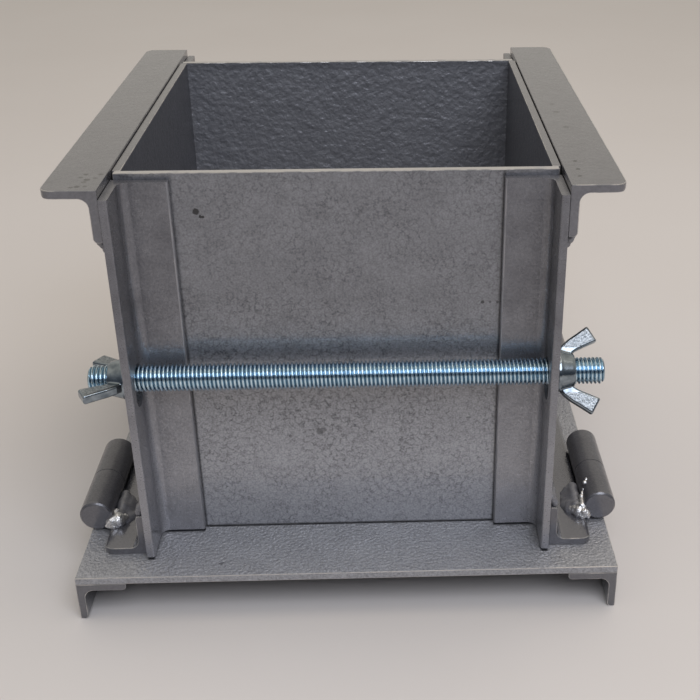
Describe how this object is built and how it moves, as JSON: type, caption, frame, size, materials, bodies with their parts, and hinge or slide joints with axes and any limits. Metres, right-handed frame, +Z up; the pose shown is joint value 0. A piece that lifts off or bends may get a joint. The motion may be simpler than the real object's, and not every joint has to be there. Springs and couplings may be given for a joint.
{
  "type": "concrete cube mould",
  "caption": "Steel mould for casting a concrete test cube: hinged side walls with angle handles, loose end panels held in corner angles, tie rods with wing nuts, and a footed base plate.",
  "frame": {"origin": "under the middle of the base plate, on the surface that the feet stand on", "axes": "+X to the right along the tie rods, +Y from the front panel to the rear panel, +Z up"},
  "size_m": [0.215, 0.218, 0.1705],
  "materials": {
    "hammer_enamel": "silver-grey hammered enamel",
    "zinc_plate": "bright blue-white zinc plate",
    "bare_steel": "turned, oiled",
    "bright_weld": "bright weld metal, thinly painted"
  },
  "bodies": {
    "base": {"base_plate": "hammer_enamel", "front_left_hinge_base": "hammer_enamel", "front_left_hinge_pin": "bare_steel", "front_right_hinge_base": "hammer_enamel", "front_right_hinge_pin": "bare_steel", "left_foot": "hammer_enamel", "left_foot_welds": "hammer_enamel", "left_hinge_base_welds": "hammer_enamel", "rear_left_hinge_base": "hammer_enamel", "rear_left_hinge_pin": "bare_steel", "rear_right_hinge_base": "hammer_enamel", "rear_right_hinge_pin": "bare_steel", "right_foot": "hammer_enamel", "right_foot_welds": "hammer_enamel", "right_hinge_base_welds": "hammer_enamel"},
    "left_wall": {"front_left_clamp_angle": "hammer_enamel", "front_left_hinge_socket": "hammer_enamel", "left_handle": "hammer_enamel", "left_handle_welds": "hammer_enamel", "left_rail": "hammer_enamel", "left_rail_welds": "hammer_enamel", "left_socket_welds": "bright_weld", "left_wall": "hammer_enamel", "rear_left_clamp_angle": "hammer_enamel", "rear_left_hinge_socket": "hammer_enamel"},
    "right_wall": {"front_right_clamp_angle": "hammer_enamel", "front_right_hinge_socket": "hammer_enamel", "rear_right_clamp_angle": "hammer_enamel", "rear_right_hinge_socket": "hammer_enamel", "right_handle": "hammer_enamel", "right_handle_welds": "hammer_enamel", "right_rail": "hammer_enamel", "right_rail_welds": "hammer_enamel", "right_socket_welds": "bright_weld", "right_wall": "hammer_enamel"},
    "front_panel": {"front_panel": "hammer_enamel"},
    "rear_panel": {"rear_panel": "hammer_enamel"},
    "front_rod": {"front_rod": "zinc_plate"},
    "rear_rod": {"rear_rod": "zinc_plate"},
    "front_left_wing_nut": {"front_left_wing_nut": "zinc_plate"},
    "front_right_wing_nut": {"front_right_wing_nut": "zinc_plate"},
    "rear_left_wing_nut": {"rear_left_wing_nut": "zinc_plate"},
    "rear_right_wing_nut": {"rear_right_wing_nut": "zinc_plate"}
  },
  "joints": [
    {"name": "left_wall_swing", "type": "hinge", "parent": "base", "child": "left_wall", "pos_m": [-0.101, 0, 0.0265], "axis": [0, -1, 0], "range_deg": [0, 100]},
    {"name": "right_wall_swing", "type": "hinge", "parent": "base", "child": "right_wall", "pos_m": [0.101, 0, 0.0265], "axis": [0, 1, 0], "range_deg": [0, 100]},
    {"name": "front_panel_lift", "type": "slide", "parent": "base", "child": "front_panel", "axis": [0, 0, 1], "range_m": [0, 0.155]},
    {"name": "rear_panel_lift", "type": "slide", "parent": "base", "child": "rear_panel", "axis": [0, 0, 1], "range_m": [0, 0.155]},
    {"name": "front_rod_draw", "type": "slide", "parent": "base", "child": "front_rod", "axis": [1, 0, 0], "range_m": [0, 0.2]},
    {"name": "rear_rod_draw", "type": "slide", "parent": "base", "child": "rear_rod", "axis": [-1, 0, 0], "range_m": [0, 0.2]},
    {"name": "front_left_nut_run", "type": "slide", "parent": "base", "child": "front_left_wing_nut", "axis": [-1, 0, 0], "range_m": [0, 0.262]},
    {"name": "front_right_nut_run", "type": "slide", "parent": "base", "child": "front_right_wing_nut", "axis": [1, 0, 0], "range_m": [0, 0.262]},
    {"name": "rear_left_nut_run", "type": "slide", "parent": "base", "child": "rear_left_wing_nut", "axis": [-1, 0, 0], "range_m": [0, 0.262]},
    {"name": "rear_right_nut_run", "type": "slide", "parent": "base", "child": "rear_right_wing_nut", "axis": [1, 0, 0], "range_m": [0, 0.262]}
  ],
  "couplings": [
    {"joint": "front_left_nut_run", "follows": "left_wall_swing", "m_per_rad": 0.15},
    {"joint": "front_right_nut_run", "follows": "right_wall_swing", "m_per_rad": 0.15},
    {"joint": "rear_left_nut_run", "follows": "left_wall_swing", "m_per_rad": 0.15},
    {"joint": "rear_right_nut_run", "follows": "right_wall_swing", "m_per_rad": 0.15}
  ]
}
